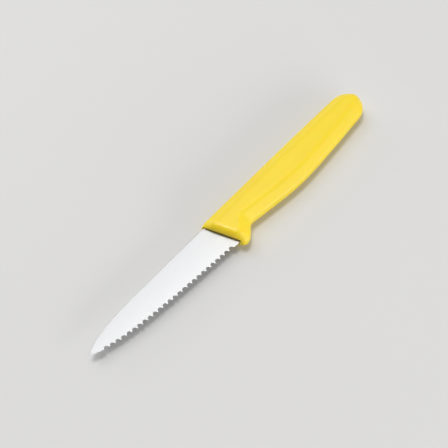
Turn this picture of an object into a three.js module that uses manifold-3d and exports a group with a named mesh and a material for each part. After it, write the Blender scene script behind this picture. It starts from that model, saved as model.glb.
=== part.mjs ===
// Serrated vegetable knife: a stamped steel blade whose flat tang is moulded into a plastic handle.
// Millimetres. X runs from butt to tip, Y from spine to cutting edge, Z up through the thickness.
// The pieces are made with x = 0 at the handle's front face, y = 0 at the spine and z = 0 in mid-thickness.
import * as THREE from "three";
import { mergeVertices } from "three/addons/utils/BufferGeometryUtils.js";
import Module from "manifold-3d";

const wasm = await Module();
wasm.setup();
const { clamp, degToRad, lerp } = THREE.MathUtils;

// Blade, as seen in front of the handle
const BLADE_LENGTH = 83.6;
const BLADE_WIDTH = 17.4; // spine to cutting edge, where the blade leaves the handle
const SPINE_THICKNESS = 1.2;
const EDGE_THICKNESS = 0.4; // just behind the sharpening bevel
const TIP_DROP = 5.05; // from the spine line down to the tip
const SPINE_CURVE = 36; // length over which the spine falls to the tip
const SPINE_CURVE_EASE = 0.245; // how long the curve follows its end directions, as a share of its length
// The places that the edge bends towards, in shares of the blade's length and width
const EDGE_CURVE_TIP = { along: 0.87, down: 0.673 };
const EDGE_CURVE_MIDDLE = { along: 0.672, down: 0.786 };

// Serration, ground from the underside only
const SCALLOP_PITCH = 3.0;
const SCALLOP_DEPTH = 1.5;
const TOOTH_LAND = 0.2; // flat left on each tooth between two scallops
const TIP_PLAIN = 7.0; // unserrated edge next to the tip
const HEEL_PLAIN = 3.2; // unserrated edge next to the handle, at least
const BEVEL_ANGLE = degToRad(25);

// Tang, hidden in the handle
const HEEL_DEPTH = 4; // how far the full width of the blade runs into the handle at the cutting edge
const TANG_LENGTH = 62;
const TANG_ROOT_WIDTH = 10;
const TANG_END_WIDTH = 7.5;
const ANCHOR_HOLE_DIAMETER = 5;
const ANCHOR_PLACES = [0.33, 0.72]; // shares of the tang's length
const TANG_MIDDLE = 7.25; // spine line to the tang's middle line
const TANG_CLEARANCE = 0.3; // between the tang and the plastic all round
const SLOT_CLEARANCE = 0.5; // the same round the heel, at the handle's front
const LIP_ROUND = 2.1; // rounding of that slot's long edges at the front face

// Handle
const HANDLE_LENGTH = 105.3;
const HANDLE_THICKNESS = 12;
const HANDLE_RISE = 1.6; // of the handle's upper edge above the blade's spine
const GUARD_DROP = 3.1; // of the guard below the blade's cutting edge
const GUARD_LENGTH = 2.6; // front face to where the guard starts to swing up to the finger notch
const NOTCH_PLACE = 15.1; // front face to the finger notch
const BELLY_DEPTH = 18.35; // spine line to the middle of the grip's belly
const BELLY_PLACE = 48.9; // behind the front face
const BELLY_ROUND = 12.9; // how broadly the two runs of the lower edge are rounded into each other there
const GRIP_RISE = 0.134; // slope of the lower edge from the notch down to the belly
const GRIP_FALL = 0.086; // slope of the lower edge from the belly up to the butt
const TAIL_DIP = 0.5; // of the upper edge towards the butt
const BUTT_ROUND_SPINE = 10; // length over which the upper edge closes at the butt
const BUTT_ROUND_BELLY = 8.4; // the same for the lower edge
const BUTT_ROUND_SIDE = 7; // the same for the thickness
const BUTT_DEPTH = 6.7; // spine line to the rearmost point
const FLANK_TILT = degToRad(40); // of the sloping flanks beside each flat side
const CREASE_ROUND = 4; // rounding between a flat side and a flank
const NOSE_ROUND = 3.5; // rounding between two flanks, along the upper and the lower edge
const FLANK_MOST = 0.47; // of the section's own width, where the butt narrows
const FRONT_LEAN = degToRad(20.3); // of the front face as far as the heel, spine side further forward
const LEAN_REACH = 42; // distance behind the front over which the lean dies out
const FRONT_ROUND = 3.4; // rounding between the front face and the flat sides
const FRONT_CORNER_TOP = 1.6;
const FRONT_CORNER_GUARD = 1.5;

// Fineness of the faceting
const BLADE_STATIONS = 48;
const SCALLOP_FACETS = 42; // of the whole grinding wheel
const ARC_SEGMENTS = 14;
const LIP_STEPS = 4;
const FLANK_STEPS = 3;
const FRONT_STEPS = 6;
const GUARD_STEPS = 11;
const GRIP_STEPS = 18;
const BUTT_STEPS = 9;
const MERGE_DISTANCE = 1e-5;

const guardDepth = BLADE_WIDTH + GUARD_DROP;
const heelFront = frontFace(BLADE_WIDTH); // where the edge leaves the handle
const heelBack = heelFront - HEEL_DEPTH;

// x of the handle's front face, which leans back from the spine to the heel and is upright below it.
function frontFace(y) {
  return Math.tan(FRONT_LEAN) * (TANG_MIDDLE - Math.min(y, BLADE_WIDTH));
}

// Solids and meshes

function solidOf(geometry) {
  geometry.deleteAttribute("normal");
  geometry.deleteAttribute("uv");
  const merged = mergeVertices(geometry, MERGE_DISTANCE);
  return new wasm.Manifold(
    new wasm.Mesh({
      numProp: 3,
      vertProperties: new Float32Array(merged.getAttribute("position").array),
      triVerts: new Uint32Array(merged.index.array),
    }),
  );
}

function meshOf(name, solid, material) {
  const { vertProperties, triVerts } = solid.getMesh();
  const geometry = new THREE.BufferGeometry();
  geometry.setAttribute("position", new THREE.BufferAttribute(vertProperties, 3));
  geometry.setIndex(new THREE.BufferAttribute(triVerts, 1));
  geometry.computeVertexNormals();
  const mesh = new THREE.Mesh(geometry, material);
  mesh.name = name;
  return mesh;
}

// A closed skin over a row of rings with equal point counts, with a point in the middle of each end.
function loft(startPoint, rings, endPoint) {
  const count = rings[0].length;
  const points = [startPoint, ...rings.flat(), endPoint];
  const last = points.length - 1;
  const at = (ring, place) => 1 + ring * count + (place % count);
  const faces = [];
  for (let place = 0; place < count; place++) {
    faces.push(0, at(0, place), at(0, place + 1));
    for (let ring = 0; ring < rings.length - 1; ring++) {
      faces.push(at(ring, place), at(ring + 1, place), at(ring + 1, place + 1));
      faces.push(at(ring, place), at(ring + 1, place + 1), at(ring, place + 1));
    }
    faces.push(last, at(rings.length - 1, place + 1), at(rings.length - 1, place));
  }
  const geometry = new THREE.BufferGeometry().setFromPoints(points);
  geometry.setIndex(faces);
  return solidOf(geometry);
}

function middleOf(ring) {
  const sum = ring.reduce((total, point) => total.add(point), new THREE.Vector3());
  return sum.divideScalar(ring.length);
}

// A quarter of an ellipse: 1 until the rounding starts, falling to 0 at its end.
function roundOff(into, span) {
  const share = Math.min(Math.max(into / span, 0), 1);
  return Math.sqrt(1 - share * share);
}

// Blade

function spineLine() {
  const path = new THREE.Path();
  path.moveTo(BLADE_LENGTH, TIP_DROP);
  const curveStart = BLADE_LENGTH - SPINE_CURVE;
  const ease = SPINE_CURVE_EASE * SPINE_CURVE;
  path.bezierCurveTo(BLADE_LENGTH - ease, 0, curveStart + ease, 0, curveStart, 0);
  path.lineTo(heelBack, 0);
  return path;
}

function edgeLine() {
  const path = new THREE.Path();
  path.moveTo(BLADE_LENGTH, TIP_DROP);
  path.bezierCurveTo(
    EDGE_CURVE_TIP.along * BLADE_LENGTH,
    EDGE_CURVE_TIP.down * BLADE_WIDTH,
    EDGE_CURVE_MIDDLE.along * BLADE_LENGTH,
    EDGE_CURVE_MIDDLE.down * BLADE_WIDTH,
    heelFront,
    BLADE_WIDTH,
  );
  path.lineTo(heelBack, BLADE_WIDTH);
  return path;
}

// One section of the ground blade: flat upper face, flat lower face, and a bevel that meets the upper face.
// The faces taper evenly towards the edge, so the spine is thinner where the blade is narrower.
function bladeRing(spine, edge) {
  const width = spine.distanceTo(edge);
  const widthShare = Math.min(width / BLADE_WIDTH, 1);
  const spineHalf = lerp(EDGE_THICKNESS, SPINE_THICKNESS, widthShare) / 2;
  const edgeHalf = EDGE_THICKNESS / 2;
  const bevelWidth = Math.min(EDGE_THICKNESS / Math.tan(BEVEL_ANGLE), width / 2);
  const bevel = edge.clone().lerp(spine, bevelWidth / width);
  return [
    new THREE.Vector3(spine.x, spine.y, spineHalf),
    new THREE.Vector3(spine.x, spine.y, -spineHalf),
    new THREE.Vector3(bevel.x, bevel.y, -edgeHalf),
    new THREE.Vector3(edge.x, edge.y, edgeHalf),
  ];
}

function groundBlade() {
  const spine = spineLine().getSpacedPoints(BLADE_STATIONS);
  const edge = edgeLine().getSpacedPoints(BLADE_STATIONS);
  const rings = [];
  for (let station = 1; station <= BLADE_STATIONS; station++) {
    rings.push(bladeRing(spine[station], edge[station]));
  }
  const tip = new THREE.Vector3(BLADE_LENGTH, TIP_DROP, 0);
  return loft(tip, rings, middleOf(rings[rings.length - 1]));
}

// The grinding wheel of one scallop: a cylinder that dips under the blade at the bevel's angle.
function scallopCutter(point, tangent) {
  const halfChord = (SCALLOP_PITCH - TOOTH_LAND) / 2;
  const bite = SCALLOP_DEPTH * Math.sin(BEVEL_ANGLE);
  const radius = (halfChord * halfChord + bite * bite) / (2 * bite);
  const reach = radius / Math.sin(BEVEL_ANGLE) - SCALLOP_DEPTH;
  const outward = new THREE.Vector3(tangent.y, -tangent.x, 0);
  if (outward.y < 0) outward.negate();
  const up = new THREE.Vector3(0, 0, 1);
  const axis = outward.clone().multiplyScalar(Math.cos(BEVEL_ANGLE));
  axis.addScaledVector(up, Math.sin(BEVEL_ANGLE));
  const centre = new THREE.Vector3(point.x, point.y, EDGE_THICKNESS / 2).addScaledVector(outward, reach);
  const wheelWidth = 4 * reach; // enough to pass right through the edge
  const cylinder = new THREE.CylinderGeometry(radius, radius, wheelWidth, SCALLOP_FACETS);
  const turn = new THREE.Quaternion().setFromUnitVectors(new THREE.Vector3(0, 1, 0), axis);
  cylinder.applyQuaternion(turn);
  cylinder.translate(centre.x, centre.y, centre.z);
  return solidOf(cylinder);
}

function serratedBlade() {
  const edge = edgeLine();
  const edgeLength = edge.getLength();
  const serrated = edgeLength - HEEL_DEPTH - TIP_PLAIN - HEEL_PLAIN;
  const scallopCount = Math.floor(serrated / SCALLOP_PITCH);
  let blade = groundBlade();
  for (let scallop = 0; scallop < scallopCount; scallop++) {
    const share = (TIP_PLAIN + (scallop + 0.5) * SCALLOP_PITCH) / edgeLength;
    blade = blade.subtract(scallopCutter(edge.getPointAt(share), edge.getTangentAt(share)));
  }
  return blade;
}

// The tang as a plate with anchor holes. Grown all round by a clearance, it is the pocket in the plastic.
function tangPlate(grow) {
  const front = heelBack + HEEL_DEPTH / 2;
  const back = heelBack - TANG_LENGTH - grow;
  const rootHalf = TANG_ROOT_WIDTH / 2 + grow;
  const endHalf = TANG_END_WIDTH / 2 + grow;
  const outline = new THREE.Shape();
  outline.moveTo(front, TANG_MIDDLE - rootHalf);
  outline.lineTo(front, TANG_MIDDLE + rootHalf);
  outline.lineTo(back + endHalf, TANG_MIDDLE + endHalf);
  outline.absarc(back + endHalf, TANG_MIDDLE, endHalf, Math.PI / 2, 1.5 * Math.PI, false);
  outline.closePath();
  const holeRadius = ANCHOR_HOLE_DIAMETER / 2 - grow;
  for (const place of ANCHOR_PLACES) {
    const hole = new THREE.Path();
    hole.absarc(heelBack - place * TANG_LENGTH, TANG_MIDDLE, holeRadius, 0, 2 * Math.PI, true);
    outline.holes.push(hole);
  }
  const depth = SPINE_THICKNESS + 2 * grow;
  const options = { depth, bevelEnabled: false, curveSegments: ARC_SEGMENTS };
  const plate = new THREE.ExtrudeGeometry(outline, options);
  plate.translate(0, 0, -depth / 2);
  return solidOf(plate);
}

function makeBlade() {
  return serratedBlade().add(tangPlate(0));
}

// Handle

const buttStart = HANDLE_LENGTH - BUTT_ROUND_SPINE;

// The upper edge is straight as far as the belly and then dips in an even sweep.
function upperEdge(back) {
  const share = Math.max(0, back - BELLY_PLACE) / (buttStart - BELLY_PLACE);
  return TAIL_DIP * share * share - HANDLE_RISE;
}

// The lower edge of the grip: two runs, nearly straight, that are rounded into each other at the belly.
function gripEdge(back) {
  const past = back - BELLY_PLACE;
  const rounded = Math.hypot(past, BELLY_ROUND) - BELLY_ROUND;
  return BELLY_DEPTH - ((GRIP_RISE + GRIP_FALL) * rounded + (GRIP_FALL - GRIP_RISE) * past) / 2;
}

// The whole lower edge: the guard, then a swing up into the finger notch, then the grip.
function lowerEdge(back) {
  const share = clamp((back - GUARD_LENGTH) / (NOTCH_PLACE - GUARD_LENGTH), 0, 1);
  return lerp(gripEdge(back), guardDepth, (1 + Math.cos(Math.PI * share)) / 2);
}

// One edge of the handle in section, from flat to flat: a crease, a slope, the nose, a slope and a crease.
// x is measured inward from the nose and y up from mid-thickness.
function edgeSection() {
  const half = HANDLE_THICKNESS / 2;
  const sine = Math.sin(FLANK_TILT);
  const cosine = Math.cos(FLANK_TILT);
  const slope = (half - NOSE_ROUND * cosine - CREASE_ROUND * (1 - cosine)) / sine;
  const width = NOSE_ROUND * (1 - sine) + slope * cosine + CREASE_ROUND * sine;
  const quarter = Math.PI / 2;
  const upperHalf = new THREE.Path();
  upperHalf.absarc(NOSE_ROUND, 0, NOSE_ROUND, 2 * quarter, quarter + FLANK_TILT, true);
  upperHalf.absarc(width, half - CREASE_ROUND, CREASE_ROUND, quarter + FLANK_TILT, quarter, true);
  const upper = upperHalf.getPoints(FLANK_STEPS);
  const lower = upper.slice(1).map(({ x, y }) => new THREE.Vector2(x, -y));
  return { width, points: [...lower.reverse(), ...upper] };
}

const handleEdge = edgeSection();

// One section of the handle: two flat sides joined by two edges, made smaller where the handle closes.
function handleRing(back) {
  const front = 1 - roundOff(FRONT_ROUND - back, FRONT_ROUND);
  const closeSpine = roundOff(back - buttStart, BUTT_ROUND_SPINE);
  const closeBelly = roundOff(back - (HANDLE_LENGTH - BUTT_ROUND_BELLY), BUTT_ROUND_BELLY);
  const closeSide = roundOff(back - (HANDLE_LENGTH - BUTT_ROUND_SIDE), BUTT_ROUND_SIDE);
  const top = lerp(BUTT_DEPTH, upperEdge(back), closeSpine) + FRONT_CORNER_TOP * front;
  const bottom = lerp(BUTT_DEPTH, lowerEdge(back), closeBelly) - FRONT_CORNER_GUARD * front;
  const thinner = closeSide - (FRONT_ROUND * front) / (HANDLE_THICKNESS / 2);
  const narrower = Math.min(1, (FLANK_MOST * (bottom - top)) / handleEdge.width);
  const lean = Math.max(0, 1 - back / LEAN_REACH);
  const at = (y, z) => new THREE.Vector3(lean * frontFace(y) - back, y, z);
  const spine = handleEdge.points.map((point) => at(top + narrower * point.x, -thinner * point.y));
  const belly = handleEdge.points.map((point) => at(bottom - narrower * point.x, thinner * point.y));
  return [...spine, ...belly];
}

// Distances behind the front face at which the handle is sectioned: close together where it turns quickly.
function handleStations() {
  const even = (from, to, steps) => Array.from({ length: steps }, (_, step) => lerp(from, to, step / steps));
  const quarterTurn = (steps) => even(0, Math.PI / 2, steps);
  return [
    ...quarterTurn(FRONT_STEPS).map((angle) => FRONT_ROUND * (1 - Math.cos(angle))),
    ...even(FRONT_ROUND, NOTCH_PLACE, GUARD_STEPS),
    ...even(NOTCH_PLACE, buttStart, GRIP_STEPS),
    ...quarterTurn(BUTT_STEPS).map((angle) => buttStart + BUTT_ROUND_SPINE * Math.sin(angle)),
  ];
}

function handleBody() {
  const rings = handleStations().map(handleRing);
  const butt = new THREE.Vector3(-HANDLE_LENGTH, BUTT_DEPTH, 0);
  return loft(middleOf(rings[0]), rings, butt);
}

// One section of the slot for the heel, given where it crosses the spine side and the cutting side.
function slotSection(spineX, edgeX, opening) {
  const spineHalf = SPINE_THICKNESS / 2 + opening;
  const edgeHalf = EDGE_THICKNESS / 2 + opening;
  return [
    new THREE.Vector3(spineX, -SLOT_CLEARANCE, spineHalf),
    new THREE.Vector3(spineX, -SLOT_CLEARANCE, -spineHalf),
    new THREE.Vector3(edgeX, BLADE_WIDTH + SLOT_CLEARANCE, -edgeHalf),
    new THREE.Vector3(edgeX, BLADE_WIDTH + SLOT_CLEARANCE, edgeHalf),
  ];
}

// The slot that the heel of the blade leaves in the plastic, with a rounded lip at the front face.
function heelSlot() {
  const behindFace = (behind, opening) =>
    slotSection(frontFace(-SLOT_CLEARANCE) - behind, heelFront - behind, SLOT_CLEARANCE + opening);
  const rings = [behindFace(-HEEL_DEPTH, LIP_ROUND)];
  for (let step = 0; step <= LIP_STEPS; step++) {
    const turn = (Math.PI / 2) * (step / LIP_STEPS);
    rings.push(behindFace(LIP_ROUND * (1 - Math.cos(turn)), LIP_ROUND * (1 - Math.sin(turn))));
  }
  const back = heelBack - SLOT_CLEARANCE;
  rings.push(slotSection(back, back, SLOT_CLEARANCE));
  return loft(middleOf(rings[0]), rings, middleOf(rings[rings.length - 1]));
}

function makeHandle() {
  return handleBody().subtract(heelSlot()).subtract(tangPlate(TANG_CLEARANCE));
}

// Assembly, moved so that the origin is the middle of the underside

const steel = new THREE.MeshStandardMaterial({ color: 0xd8dadb, metalness: 1, roughness: 0.35 });
const plastic = new THREE.MeshStandardMaterial({ color: 0xf3cf33, metalness: 0, roughness: 0.45 });

const knife = new THREE.Group();
knife.name = "serrated_vegetable_knife";
knife.add(meshOf("blade", makeBlade(), steel));
knife.add(meshOf("handle", makeHandle(), plastic));

const box = new THREE.Box3().setFromObject(knife);
const middle = box.getCenter(new THREE.Vector3());
for (const piece of knife.children) {
  piece.position.set(-middle.x, -middle.y, -box.min.z);
}

export default knife;
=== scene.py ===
# A serrated vegetable knife lying on its right-hand side: a satin steel blade in a moulded yellow handle.
# The shapes are made in millimetres, with x = 0 at the handle's front face, y = 0 at the spine line and
# z = 0 in mid-thickness. They are then set in the part's frame, in metres.
import math

import bmesh
import bpy
import numpy as np
from mathutils import Matrix, Vector


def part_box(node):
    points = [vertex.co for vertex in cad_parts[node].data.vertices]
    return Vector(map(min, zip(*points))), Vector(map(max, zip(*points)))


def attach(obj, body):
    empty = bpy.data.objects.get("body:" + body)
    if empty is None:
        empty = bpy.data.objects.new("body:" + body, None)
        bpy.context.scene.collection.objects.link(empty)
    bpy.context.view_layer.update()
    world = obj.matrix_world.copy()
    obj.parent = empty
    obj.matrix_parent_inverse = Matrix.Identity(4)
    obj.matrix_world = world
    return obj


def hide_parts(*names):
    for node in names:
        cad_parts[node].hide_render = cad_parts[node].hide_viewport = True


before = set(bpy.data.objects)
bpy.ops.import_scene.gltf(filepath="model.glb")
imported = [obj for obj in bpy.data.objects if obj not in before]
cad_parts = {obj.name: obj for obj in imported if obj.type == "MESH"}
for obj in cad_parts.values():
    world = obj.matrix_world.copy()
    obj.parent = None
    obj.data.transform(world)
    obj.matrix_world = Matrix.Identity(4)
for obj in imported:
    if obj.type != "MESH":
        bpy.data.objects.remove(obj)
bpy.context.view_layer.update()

MM = 0.001

# Blade, as seen in front of the handle
BLADE_LENGTH = 83.6
BLADE_WIDTH = 17.4  # spine to cutting edge, where the blade leaves the handle
SPINE_THICKNESS = 1.2
EDGE_THICKNESS = 0.4  # just behind the sharpening bevel
TIP_DROP = 5.05  # from the spine line down to the tip
SPINE_CURVE = 36  # length over which the spine falls to the tip
SPINE_CURVE_EASE = 0.245  # how long the curve follows its end directions, as a share of its length
# The places that the edge bends towards, in shares of the blade's length and width
EDGE_CURVE_TIP = (0.87, 0.673)
EDGE_CURVE_MIDDLE = (0.672, 0.786)
SPINE_ROUND = 0.16  # rounding of the spine's two corners

# Serration, ground from the underside only
SCALLOP_PITCH = 3.0
SCALLOP_DEPTH = 1.5
TOOTH_LAND = 0.2  # flat left on each tooth between two scallops
TIP_PLAIN = 7.0  # unserrated edge next to the tip
HEEL_PLAIN = 3.2  # unserrated edge next to the handle, at least
BEVEL_ANGLE = math.radians(25)

# Tang, hidden in the handle
HEEL_DEPTH = 4  # how far the full width of the blade runs into the handle at the cutting edge
TANG_LENGTH = 62
TANG_ROOT_WIDTH = 10
TANG_END_WIDTH = 7.5
ANCHOR_HOLE_DIAMETER = 5
ANCHOR_PLACES = (0.33, 0.72)  # shares of the tang's length
TANG_MIDDLE = 7.25  # spine line to the tang's middle line
TANG_CLEARANCE = 0.3  # between the tang and the plastic all round
SLOT_CLEARANCE = 0.5  # the same round the heel, at the handle's front
LIP_ROUND = 2.1  # rounding of that slot's long edges at the front face

# Handle
HANDLE_LENGTH = 105.3
HANDLE_THICKNESS = 12
HANDLE_RISE = 1.6  # of the handle's upper edge above the blade's spine
GUARD_DROP = 3.1  # of the guard below the blade's cutting edge
GUARD_LENGTH = 2.6  # front face to where the guard starts to swing up to the finger notch
NOTCH_PLACE = 15.1  # front face to the finger notch
BELLY_DEPTH = 18.35  # spine line to the middle of the grip's belly
BELLY_PLACE = 48.9  # behind the front face
BELLY_ROUND = 12.9  # how broadly the two runs of the lower edge are rounded into each other there
GRIP_RISE = 0.134  # slope of the lower edge from the notch down to the belly
GRIP_FALL = 0.086  # slope of the lower edge from the belly up to the butt
TAIL_DIP = 0.5  # of the upper edge towards the butt
BUTT_ROUND_SPINE = 10  # length over which the upper edge closes at the butt
BUTT_ROUND_BELLY = 8.4  # the same for the lower edge
BUTT_ROUND_SIDE = 7  # the same for the thickness
BUTT_DEPTH = 6.7  # spine line to the rearmost point
FLANK_TILT = math.radians(40)  # of the sloping flanks beside each flat side
CREASE_ROUND = 4  # rounding between a flat side and a flank
NOSE_ROUND = 3.5  # rounding between two flanks, along the upper and the lower edge
FLANK_MOST = 0.47  # of the section's own width, where the butt narrows
FRONT_LEAN = math.radians(20.3)  # of the front face as far as the heel, spine side further forward
LEAN_REACH = 42  # distance behind the front over which the lean dies out
FRONT_ROUND = 3.4  # rounding between the front face and the flat sides
FRONT_CORNER_TOP = 1.6  # how far that rounding takes in the corner at the spine
FRONT_CORNER_GUARD = 1.5  # the same at the guard
PARTING_HEIGHT = 0.05  # of the fine seam that the two halves of the mould leave all round
PARTING_WIDTH = 0.12
PARTING_REACH = 3 * PARTING_WIDTH  # beyond this the seam has died away

# Fineness of the meshes, and the angles in degrees past which their edges stay sharp
BLADE_CREASE = 20
HANDLE_CREASE = 40
CURVE_SAMPLES = 400
TIP_STEPS = 14
SCALLOP_STEPS = 12
HEEL_STEPS = 6
SPINE_ROUND_STEPS = 3
CREASE_STEPS = 12
NOSE_STEPS = 14
SEAM_STEPS = 3
FRONT_STEPS = 14
GUARD_STEPS = 28
GRIP_STEPS = 64
BUTT_STEPS = 28
ARC_STEPS = 32
LIP_STEPS = 8


def front_face(y):
    """x of the handle's front face, which leans back from the spine to the heel and is upright below it."""
    return math.tan(FRONT_LEAN) * (TANG_MIDDLE - min(y, BLADE_WIDTH))


guard_depth = BLADE_WIDTH + GUARD_DROP
heel_front = front_face(BLADE_WIDTH)
heel_back = heel_front - HEEL_DEPTH
butt_start = HANDLE_LENGTH - BUTT_ROUND_SPINE


# Meshes

def turn_outward(mesh):
    """Turns the faces of a closed mesh to the outside, if they all face the inside."""
    shell = bmesh.new()
    shell.from_mesh(mesh)
    if shell.calc_volume(signed=True) < 0:
        bmesh.ops.reverse_faces(shell, faces=shell.faces[:])
    shell.to_mesh(mesh)
    shell.free()


def skin(start, rings, end):
    """A closed mesh over a row of rings with equal point counts, closed by a point at each end."""
    count = len(rings[0])
    last_ring = len(rings) - 1
    end_point = 1 + count * len(rings)

    def at(ring, place):
        return 1 + ring * count + place % count

    faces = []
    for place in range(count):
        faces.append((0, at(0, place), at(0, place + 1)))
        for ring in range(last_ring):
            ahead = ring + 1
            faces.append((at(ring, place), at(ahead, place), at(ahead, place + 1), at(ring, place + 1)))
        faces.append((end_point, at(last_ring, place + 1), at(last_ring, place)))
    mesh = bpy.data.meshes.new("skin")
    mesh.from_pydata([tuple(point) for point in np.vstack([start, *rings, end])], [], faces)
    turn_outward(mesh)
    return mesh


def place_object(name, mesh):
    piece = bpy.data.objects.new(name, mesh)
    bpy.context.scene.collection.objects.link(piece)
    return piece


def combine(piece, tool, operation):
    """Joins the tool to the piece, or cuts it out of the piece, for good."""
    step = piece.modifiers.new(operation, "BOOLEAN")
    step.operation = operation
    step.solver = "MANIFOLD"
    step.object = tool
    made = piece.evaluated_get(bpy.context.evaluated_depsgraph_get())
    mesh = bpy.data.meshes.new_from_object(made)
    mesh.materials.clear()
    piece.modifiers.clear()
    piece.data = mesh
    bpy.data.objects.remove(tool)


def to_frame():
    """From millimetres about the handle's front face to metres in the part's frame."""
    low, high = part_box("blade")
    shift = Vector((high.x - BLADE_LENGTH * MM, low.y, HANDLE_THICKNESS * MM / 2))
    return Matrix.Translation(shift) @ Matrix.Scale(MM, 4)


def set_in_frame(piece):
    piece.data.transform(to_frame())


def smooth_faces(piece, crease):
    """Smooth shading between creases, led by the larger faces so that flats stay flat."""
    piece.data.shade_smooth()
    piece.data.set_sharp_from_angle(angle=math.radians(crease))
    weighted = piece.modifiers.new("flat_faces_lead", "WEIGHTED_NORMAL")
    weighted.keep_sharp = True


# Lines of the blade

def blend(start, end, share):
    """The value at a share of the way from start to end."""
    return start + (end - start) * share


def bezier(start, start_pull, end_pull, end):
    """Points on a curve from start to end that bends towards the two pulls on its way."""
    share = np.linspace(0, 1, CURVE_SAMPLES)[:, None]
    rest = 1 - share
    return (rest**3 * start + 3 * rest**2 * share * start_pull
            + 3 * rest * share**2 * end_pull + share**3 * end)


class Line:
    """A curve in the blade's plane that is walked by distance."""

    def __init__(self, points):
        self.points = np.vstack(points)
        gaps = np.linalg.norm(np.diff(self.points, axis=0), axis=1)
        self.distances = np.concatenate([[0], np.cumsum(gaps)])
        self.length = self.distances[-1]

    def at(self, distance):
        return np.array([np.interp(distance, self.distances, axis) for axis in self.points.T])


def spine_line():
    """The spine, from the tip to the back of the heel."""
    tip = np.array([BLADE_LENGTH, TIP_DROP])
    straight = np.array([BLADE_LENGTH - SPINE_CURVE, 0])
    ease = SPINE_CURVE_EASE * SPINE_CURVE
    curve = bezier(tip, np.array([BLADE_LENGTH - ease, 0]), straight + [ease, 0], straight)
    return Line([curve, [heel_back, 0]])


def edge_line():
    """The line of the tooth tips, from the tip to the back of the heel."""
    tip = np.array([BLADE_LENGTH, TIP_DROP])
    heel = np.array([heel_front, BLADE_WIDTH])
    size = np.array([BLADE_LENGTH, BLADE_WIDTH])
    curve = bezier(tip, EDGE_CURVE_TIP * size, EDGE_CURVE_MIDDLE * size, heel)
    return Line([curve, [heel_back, BLADE_WIDTH]])


spine = spine_line()
edge = edge_line()


# Blade

def scallop_count():
    """How many whole scallops fit between the plain lengths at the tip and at the handle."""
    serrated = edge.length - HEEL_DEPTH - TIP_PLAIN - HEEL_PLAIN
    return math.floor(serrated / SCALLOP_PITCH)


def scallop_stations():
    """Distances along one scallop and the depths of cut there, as a tilted grinding wheel leaves them."""
    half_chord = (SCALLOP_PITCH - TOOTH_LAND) / 2
    bite = SCALLOP_DEPTH * math.sin(BEVEL_ANGLE)
    radius = (half_chord**2 + bite**2) / (2 * bite)
    half_turn = math.asin(half_chord / radius)
    angles = np.linspace(-half_turn, half_turn, SCALLOP_STEPS + 1)
    depths = SCALLOP_DEPTH - radius * (1 - np.cos(angles)) / math.sin(BEVEL_ANGLE)
    return SCALLOP_PITCH / 2 + radius * np.sin(angles), np.maximum(depths, 0)


def blade_stations():
    """Pairs of distance from the tip along the edge and depth that the serration takes off there."""
    tip_share = np.linspace(0, 1, TIP_STEPS + 1)[1:-1]
    stations = [(TIP_PLAIN * share**2, 0) for share in tip_share]
    along, depths = scallop_stations()
    for scallop in range(scallop_count()):
        start = TIP_PLAIN + scallop * SCALLOP_PITCH
        stations += zip(start + along, depths)
    heel_start = TIP_PLAIN + scallop_count() * SCALLOP_PITCH
    stations += [(place, 0) for place in np.linspace(heel_start, edge.length - HEEL_DEPTH, HEEL_STEPS)]
    stations.append((edge.length, 0))
    return stations


def blade_ring(distance, cut):
    """One section: rounded spine, flat lower face, bevel, and flat upper face.

    The faces taper evenly towards the edge, so the spine is thinner where the blade is narrower.
    """
    back = spine.at(distance / edge.length * spine.length)
    tooth = edge.at(distance)
    width = np.linalg.norm(tooth - back)
    inward = (back - tooth) / width
    edge_half = EDGE_THICKNESS / 2
    spine_half = blend(EDGE_THICKNESS, SPINE_THICKNESS, min(width / BLADE_WIDTH, 1)) / 2
    slope = (spine_half - edge_half) / width
    bevel = 2 * (edge_half + slope * cut) / (math.tan(BEVEL_ANGLE) - slope)
    bevel = min(bevel, width / 2)
    corner = min(SPINE_ROUND, spine_half / 2)
    ring = []
    for angle in np.linspace(0, math.pi / 2, SPINE_ROUND_STEPS + 1):
        ring.append((corner * (1 - math.sin(angle)), spine_half - corner * (1 - math.cos(angle))))
    ring += [(depth, -height) for depth, height in reversed(ring)]
    ring.append((width - cut - bevel, -edge_half - slope * (cut + bevel)))
    ring.append((width - cut, edge_half + slope * cut))
    return [(*(back - inward * depth), height) for depth, height in ring]


def middle_of(ring):
    return np.mean(ring, axis=0)


def ground_blade():
    """The blade with its heel, still without the tang."""
    rings = [blade_ring(distance, cut) for distance, cut in blade_stations()]
    return skin((BLADE_LENGTH, TIP_DROP, 0), rings, middle_of(rings[-1]))


def round_bar(x, y, radius, height):
    """An upright cylinder through the mid-plane."""
    angles = np.linspace(0, 2 * math.pi, ARC_STEPS, endpoint=False)
    rings = [[(x + radius * math.cos(a), y + radius * math.sin(a), z) for a in angles]
             for z in (height / 2, -height / 2)]
    return skin((x, y, height / 2), rings, (x, y, -height / 2))


def tang_plate(name, grow):
    """The tang with its anchor holes. Grown all round by a clearance, it is the pocket in the plastic."""
    front = heel_back + HEEL_DEPTH / 2  # well inside the heel
    back = heel_back - TANG_LENGTH - grow
    root_half = TANG_ROOT_WIDTH / 2 + grow
    end_half = TANG_END_WIDTH / 2 + grow
    height = SPINE_THICKNESS / 2 + grow
    outline = [(front, TANG_MIDDLE - root_half), (front, TANG_MIDDLE + root_half)]
    for angle in np.linspace(math.pi / 2, 1.5 * math.pi, ARC_STEPS // 2 + 1):
        x = back + end_half + end_half * math.cos(angle)
        outline.append((x, TANG_MIDDLE + end_half * math.sin(angle)))
    rings = [[(x, y, z) for x, y in outline] for z in (height, -height)]
    plate = place_object(name, skin(middle_of(rings[0]), rings, middle_of(rings[1])))
    radius = ANCHOR_HOLE_DIAMETER / 2 - grow
    right_through = 4 * height
    for place in ANCHOR_PLACES:
        bar = round_bar(heel_back - place * TANG_LENGTH, TANG_MIDDLE, radius, right_through)
        combine(plate, place_object("anchor", bar), "DIFFERENCE")
    return plate


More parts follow.
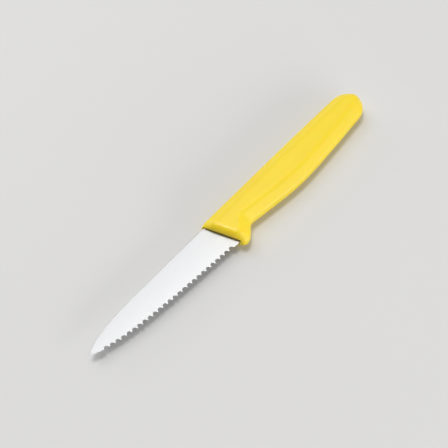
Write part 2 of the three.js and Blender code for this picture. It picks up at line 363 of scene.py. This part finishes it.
def map_grain(piece):
    """A map whose first axis runs along the knife, at right angles to the grinding lines."""
    grain = piece.data.uv_layers.new(name="grain")
    for corner in piece.data.loops:
        place = piece.data.vertices[corner.vertex_index].co
        grain.data[corner.index].uv = (place.x, place.y + place.z)


def make_blade():
    blade = place_object("steel_blade", ground_blade())
    combine(blade, tang_plate("tang", 0), "UNION")
    set_in_frame(blade)
    map_grain(blade)
    smooth_faces(blade, BLADE_CREASE)
    return blade


# Handle

def round_off(into, span):
    """A quarter of an ellipse: 1 until the rounding starts, falling to 0 at its end."""
    share = min(max(into / span, 0), 1)
    return math.sqrt(1 - share**2)


def upper_edge(back):
    """Straight as far as the belly, then dipping in an even sweep."""
    share = max(0, back - BELLY_PLACE) / (butt_start - BELLY_PLACE)
    return TAIL_DIP * share**2 - HANDLE_RISE


def grip_edge(back):
    """Two runs of the lower edge, nearly straight, that are rounded into each other at the belly."""
    past = back - BELLY_PLACE
    rounded = math.hypot(past, BELLY_ROUND) - BELLY_ROUND
    return BELLY_DEPTH - ((GRIP_RISE + GRIP_FALL) * rounded + (GRIP_FALL - GRIP_RISE) * past) / 2


def lower_edge(back):
    """The guard, then a swing up into the finger notch, then the grip."""
    share = min(max((back - GUARD_LENGTH) / (NOTCH_PLACE - GUARD_LENGTH), 0), 1)
    return blend(grip_edge(back), guard_depth, (1 + math.cos(math.pi * share)) / 2)


def edge_section():
    """Width and points of one edge of the handle in section, from flat to flat, with the mould's seam.

    The points are measured inward from the nose and up from mid-thickness.
    """
    half = HANDLE_THICKNESS / 2
    sine = math.sin(FLANK_TILT)
    cosine = math.cos(FLANK_TILT)
    slope = (half - NOSE_ROUND * cosine - CREASE_ROUND * (1 - cosine)) / sine
    width = NOSE_ROUND * (1 - sine) + slope * cosine + CREASE_ROUND * sine
    seam_end = math.asin(PARTING_REACH / NOSE_ROUND)
    nose_end = math.pi / 2 - FLANK_TILT
    seam = np.linspace(0, seam_end, SEAM_STEPS, endpoint=False)
    nose = np.concatenate([seam, np.linspace(seam_end, nose_end, NOSE_STEPS)])
    crease = np.linspace(nose_end, math.pi / 2, CREASE_STEPS)
    inward = np.concatenate([NOSE_ROUND * (1 - np.cos(nose)), width - CREASE_ROUND * np.cos(crease)])
    height = np.concatenate([NOSE_ROUND * np.sin(nose), half - CREASE_ROUND * (1 - np.sin(crease))])
    inward -= PARTING_HEIGHT * np.exp(-((height / PARTING_WIDTH) ** 2))
    upper = np.column_stack([inward, height])
    lower = upper[:0:-1] * (1, -1)  # mirrored, without the point in mid-thickness
    return width, np.vstack([lower, upper])


edge_width, edge_points = edge_section()


def handle_ring(back):
    """One section: two flat sides joined by two edges, made smaller where the handle closes."""
    front = 1 - round_off(FRONT_ROUND - back, FRONT_ROUND)
    close_spine = round_off(back - butt_start, BUTT_ROUND_SPINE)
    close_belly = round_off(back - (HANDLE_LENGTH - BUTT_ROUND_BELLY), BUTT_ROUND_BELLY)
    close_side = round_off(back - (HANDLE_LENGTH - BUTT_ROUND_SIDE), BUTT_ROUND_SIDE)
    top = blend(BUTT_DEPTH, upper_edge(back), close_spine) + FRONT_CORNER_TOP * front
    bottom = blend(BUTT_DEPTH, lower_edge(back), close_belly) - FRONT_CORNER_GUARD * front
    thinner = close_side - FRONT_ROUND * front / (HANDLE_THICKNESS / 2)
    narrower = min(1, FLANK_MOST * (bottom - top) / edge_width)
    lean = max(0, 1 - back / LEAN_REACH)
    spine_side = [(top + narrower * inward, -thinner * height) for inward, height in edge_points]
    belly_side = [(bottom - narrower * inward, thinner * height) for inward, height in edge_points]
    return [(lean * front_face(y) - back, y, z) for y, z in spine_side + belly_side]


def handle_stations():
    """Distances behind the front face, close together where the handle turns quickly."""
    front_turn = np.linspace(0, math.pi / 2, FRONT_STEPS, endpoint=False)
    butt_turn = np.linspace(0, math.pi / 2, BUTT_STEPS, endpoint=False)
    return np.concatenate([
        FRONT_ROUND * (1 - np.cos(front_turn)),
        np.linspace(FRONT_ROUND, NOTCH_PLACE, GUARD_STEPS, endpoint=False),
        np.linspace(NOTCH_PLACE, butt_start, GRIP_STEPS, endpoint=False),
        butt_start + BUTT_ROUND_SPINE * np.sin(butt_turn),
    ])


def handle_body():
    """The whole grip, still without the slot and the pocket."""
    rings = [handle_ring(back) for back in handle_stations()]
    return skin(middle_of(rings[0]), rings, (-HANDLE_LENGTH, BUTT_DEPTH, 0))


def slot_section(spine_x, edge_x, opening):
    """One section of the slot for the heel, given where it crosses the spine side and the cutting side."""
    spine_half = SPINE_THICKNESS / 2 + opening
    edge_half = EDGE_THICKNESS / 2 + opening
    return [
        (spine_x, -SLOT_CLEARANCE, spine_half),
        (spine_x, -SLOT_CLEARANCE, -spine_half),
        (edge_x, BLADE_WIDTH + SLOT_CLEARANCE, -edge_half),
        (edge_x, BLADE_WIDTH + SLOT_CLEARANCE, edge_half),
    ]


def heel_slot():
    """The slot that the heel of the blade leaves in the plastic, with a rounded lip at the front face."""
    def behind_face(behind, opening):
        spine_front = front_face(-SLOT_CLEARANCE)
        return slot_section(spine_front - behind, heel_front - behind, SLOT_CLEARANCE + opening)

    rings = [behind_face(-HEEL_DEPTH, LIP_ROUND)]
    for turn in np.linspace(0, math.pi / 2, LIP_STEPS):
        rings.append(behind_face(LIP_ROUND * (1 - math.cos(turn)), LIP_ROUND * (1 - math.sin(turn))))
    back = heel_back - SLOT_CLEARANCE
    rings.append(slot_section(back, back, SLOT_CLEARANCE))
    return skin(middle_of(rings[0]), rings, middle_of(rings[-1]))


def make_handle():
    handle = place_object("moulded_handle", handle_body())
    combine(handle, place_object("slot", heel_slot()), "DIFFERENCE")
    combine(handle, tang_plate("pocket", TANG_CLEARANCE), "DIFFERENCE")
    set_in_frame(handle)
    smooth_faces(handle, HANDLE_CREASE)
    return handle


# Materials

# Numbers of marks are per metre along each axis, and depths are in metres.
PLASTIC_DARK = (0.895, 0.668, 0.006, 1)
PLASTIC_LIGHT = (0.925, 0.703, 0.010, 1)
PLASTIC_ROUGHNESS = (0.40, 0.50)
PLASTIC_IOR = 1.49
PLASTIC_SHINE = 0.8
FLOW_MARKS = (25, 90, 90)
SHEEN_PATCHES = (300, 300, 300)
WAVES = (60, 60, 60)
WAVE_DEPTH = 0.00003
MOULD_GRAIN = (2200, 2200, 2200)
MOULD_GRAIN_DEPTH = 0.000012
GLOW_SHARE = 0.5  # of the light that goes below the plastic's surface
GLOW_REACH = 0.002
GLOW_REACH_SHARES = (1.0, 0.55, 0.08)  # of that reach in red, green and blue

STEEL_DARK = (0.54, 0.545, 0.55, 1)
STEEL_LIGHT = (0.64, 0.645, 0.65, 1)
STEEL_ROUGHNESS = (0.42, 0.50)
GRINDING_LINES = (9000, 160, 160)
GRINDING_DEPTH = 0.000008
SHINE_STRETCH = 0.9  # of the shine along the blade

NOISE_LOW = 0.3  # most of a noise lies between these two values
NOISE_HIGH = 0.7


def new_material(name):
    material = bpy.data.materials.new(name)
    material.use_nodes = True
    return material, material.node_tree, material.node_tree.nodes["Principled BSDF"]


def node(tree, kind, inputs):
    """A node whose inputs are set to values or joined to other nodes' outputs."""
    made = tree.nodes.new(kind)
    for name, value in inputs.items():
        if isinstance(value, bpy.types.NodeSocket):
            tree.links.new(value, made.inputs[name])
        else:
            made.inputs[name].default_value = value
    return made


def place_on_piece(tree, scale):
    """Places on the piece in metres, times a scale per axis."""
    place = tree.nodes.new("ShaderNodeTexCoord").outputs["Object"]
    return node(tree, "ShaderNodeMapping", {"Vector": place, "Scale": scale}).outputs[0]


def noise(tree, marks, detail):
    """Even noise, from 0 to 1, with a number of marks per metre along each axis."""
    inputs = {"Vector": place_on_piece(tree, marks), "Scale": 1.0, "Detail": detail}
    return node(tree, "ShaderNodeTexNoise", inputs).outputs["Fac"]


def stretch(tree, value, source, target):
    """A value whose source range is stretched to the target range. Both are pairs of low and high."""
    inputs = {
        "Value": value,
        "From Min": source[0],
        "From Max": source[1],
        "To Min": target[0],
        "To Max": target[1],
    }
    return node(tree, "ShaderNodeMapRange", inputs).outputs[0]


def spread(tree, value, target):
    """The middle of a noise stretched to the target range."""
    return stretch(tree, value, (NOISE_LOW, NOISE_HIGH), target)


def colours_of(sockets):
    return [socket for socket in sockets if socket.type == "RGBA"]


def shade_between(tree, share, dark, light):
    """A colour between the dark one and the light one."""
    mix = tree.nodes.new("ShaderNodeMix")
    mix.data_type = "RGBA"
    tree.links.new(share, mix.inputs["Factor"])
    first, second = colours_of(mix.inputs)
    first.default_value = dark
    second.default_value = light
    return colours_of(mix.outputs)[0]


def bump(tree, height, depth, below=None):
    """Relief of the given depth in metres, on top of another relief if there is one."""
    inputs = {"Height": height, "Distance": depth, "Strength": 1.0}
    if below is not None:
        inputs["Normal"] = below
    return node(tree, "ShaderNodeBump", inputs).outputs[0]


def yellow_plastic():
    material, tree, shader = new_material("yellow_plastic")
    link = tree.links.new
    flow = spread(tree, noise(tree, FLOW_MARKS, detail=2), (0, 1))
    link(shade_between(tree, flow, PLASTIC_DARK, PLASTIC_LIGHT), shader.inputs["Base Color"])
    sheen = noise(tree, SHEEN_PATCHES, detail=3)
    link(spread(tree, sheen, PLASTIC_ROUGHNESS), shader.inputs["Roughness"])
    waves = bump(tree, noise(tree, WAVES, detail=1), WAVE_DEPTH)
    grain = bump(tree, noise(tree, MOULD_GRAIN, detail=2), MOULD_GRAIN_DEPTH, below=waves)
    link(grain, shader.inputs["Normal"])
    shader.inputs["IOR"].default_value = PLASTIC_IOR
    shader.inputs["Specular IOR Level"].default_value = PLASTIC_SHINE
    shader.inputs["Subsurface Weight"].default_value = GLOW_SHARE
    shader.inputs["Subsurface Radius"].default_value = GLOW_REACH_SHARES
    shader.inputs["Subsurface Scale"].default_value = GLOW_REACH
    return material


def satin_steel():
    """Steel ground across the blade, so that its shine spreads along the blade."""
    material, tree, shader = new_material("satin_steel")
    link = tree.links.new
    lines = noise(tree, GRINDING_LINES, detail=3)
    link(shade_between(tree, lines, STEEL_DARK, STEEL_LIGHT), shader.inputs["Base Color"])
    link(spread(tree, lines, STEEL_ROUGHNESS), shader.inputs["Roughness"])
    link(bump(tree, lines, GRINDING_DEPTH), shader.inputs["Normal"])
    along = tree.nodes.new("ShaderNodeTangent")
    along.direction_type = "UV_MAP"
    along.uv_map = "grain"
    link(along.outputs[0], shader.inputs["Tangent"])
    shader.inputs["Anisotropic"].default_value = SHINE_STRETCH
    shader.inputs["Metallic"].default_value = 1.0
    return material


# Studio

FLOOR_COLOUR = (0.69, 0.685, 0.68, 1)
FLOOR_ROUGHNESS = 0.9
FLOOR_SHINE = 0.1
FLOOR_SIZE = 8.0
FLOOR_DROP = 0.00002  # keeps the floor just under the flat side that the handle lies on

CAMERA_AZIMUTH = math.radians(41.415)  # from the tip's direction towards the cutting edge's
CAMERA_ELEVATION = math.radians(60)
CAMERA_DISTANCE = 0.56674
CAMERA_LENS = 95.43  # in millimetres, as is the sensor's width
CAMERA_SENSOR = 36
CAMERA_NEAR = 0.01  # nothing closer than this is drawn
CAMERA_AIM = (-8.9, 3.05)  # on the floor, from the front face and the spine line, in millimetres

look_at = to_frame() @ Vector((*CAMERA_AIM, -HANDLE_THICKNESS / 2))
towards_camera = Vector((math.cos(CAMERA_AZIMUTH), math.sin(CAMERA_AZIMUTH), 0))
to_the_right = Vector((-towards_camera.y, towards_camera.x, 0))


def make_camera():
    camera = bpy.data.objects.new("camera", bpy.data.cameras.new("camera"))
    bpy.context.scene.collection.objects.link(camera)
    direction = towards_camera * math.cos(CAMERA_ELEVATION) + Vector((0, 0, math.sin(CAMERA_ELEVATION)))
    camera.location = look_at + direction * CAMERA_DISTANCE
    camera.rotation_euler = (-direction).to_track_quat("-Z", "Y").to_euler()
    camera.data.lens = CAMERA_LENS
    camera.data.sensor_width = CAMERA_SENSOR
    camera.data.clip_start = CAMERA_NEAR
    bpy.context.scene.camera = camera


def pale_floor():
    material, _, shader = new_material("pale_floor")
    shader.inputs["Base Color"].default_value = FLOOR_COLOUR
    shader.inputs["Roughness"].default_value = FLOOR_ROUGHNESS
    shader.inputs["Specular IOR Level"].default_value = FLOOR_SHINE
    return material


def make_floor():
    half = FLOOR_SIZE / 2
    corners = [(-half, -half), (half, -half), (half, half), (-half, half)]
    mesh = bpy.data.meshes.new("floor")
    mesh.from_pydata([(x, y, -FLOOR_DROP) for x, y in corners], [], [(0, 1, 2, 3)])
    mesh.materials.append(pale_floor())
    place_object("floor", mesh)


def soft_box(name, right, away, up, width, height, radiance):
    """A soft light at a place given from the middle of the floor, facing the knife."""
    lamp = bpy.data.lights.new(name, "AREA")
    lamp.shape = "RECTANGLE"
    lamp.size = width
    lamp.size_y = height
    lamp.energy = radiance * math.pi * width * height
    holder = bpy.data.objects.new(name, lamp)
    bpy.context.scene.collection.objects.link(holder)
    holder.location = to_the_right * right - towards_camera * away + Vector((0, 0, up))
    holder.rotation_euler = holder.location.to_track_quat("Z", "Y").to_euler()


def make_sky(right, away, dim, bright):
    """A plain white sky, bright in one direction and evenly dimmer towards the opposite one."""
    bright_side = to_the_right * right - towards_camera * away
    world = bpy.data.worlds.new("sky")
    world.use_nodes = True
    bpy.context.scene.world = world
    tree = world.node_tree
    direction = tree.nodes.new("ShaderNodeTexCoord").outputs["Generated"]
    facing = tree.nodes.new("ShaderNodeVectorMath")
    facing.operation = "DOT_PRODUCT"
    tree.links.new(direction, facing.inputs[0])
    facing.inputs[1].default_value = bright_side.normalized()
    strength = stretch(tree, facing.outputs["Value"], (-1, 1), (dim, bright))
    background = tree.nodes["Background"]
    background.inputs["Color"].default_value = (1, 1, 1, 1)
    tree.links.new(strength, background.inputs["Strength"])


make_camera()
make_floor()
make_sky(right=0.67, away=0.74, dim=0.06, bright=0.5)
soft_box("overhead", right=-0.24, away=0.22, up=2.38, width=0.8, height=0.8, radiance=13.1)
soft_box("far_left", right=-0.62, away=0.50, up=1.05, width=0.7, height=0.7, radiance=2.6)
soft_box("low_left", right=-0.95, away=0.80, up=0.40, width=1.0, height=0.4, radiance=2.0)
soft_box("low_right", right=0.80, away=-0.55, up=0.24, width=1.2, height=0.36, radiance=4.4)
bpy.context.scene.view_settings.view_transform = "Standard"

# The knife

blade = make_blade()
blade.data.materials.append(satin_steel())
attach(blade, "root")
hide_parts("blade")

handle = make_handle()
handle.data.materials.append(yellow_plastic())
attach(handle, "root")
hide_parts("handle")
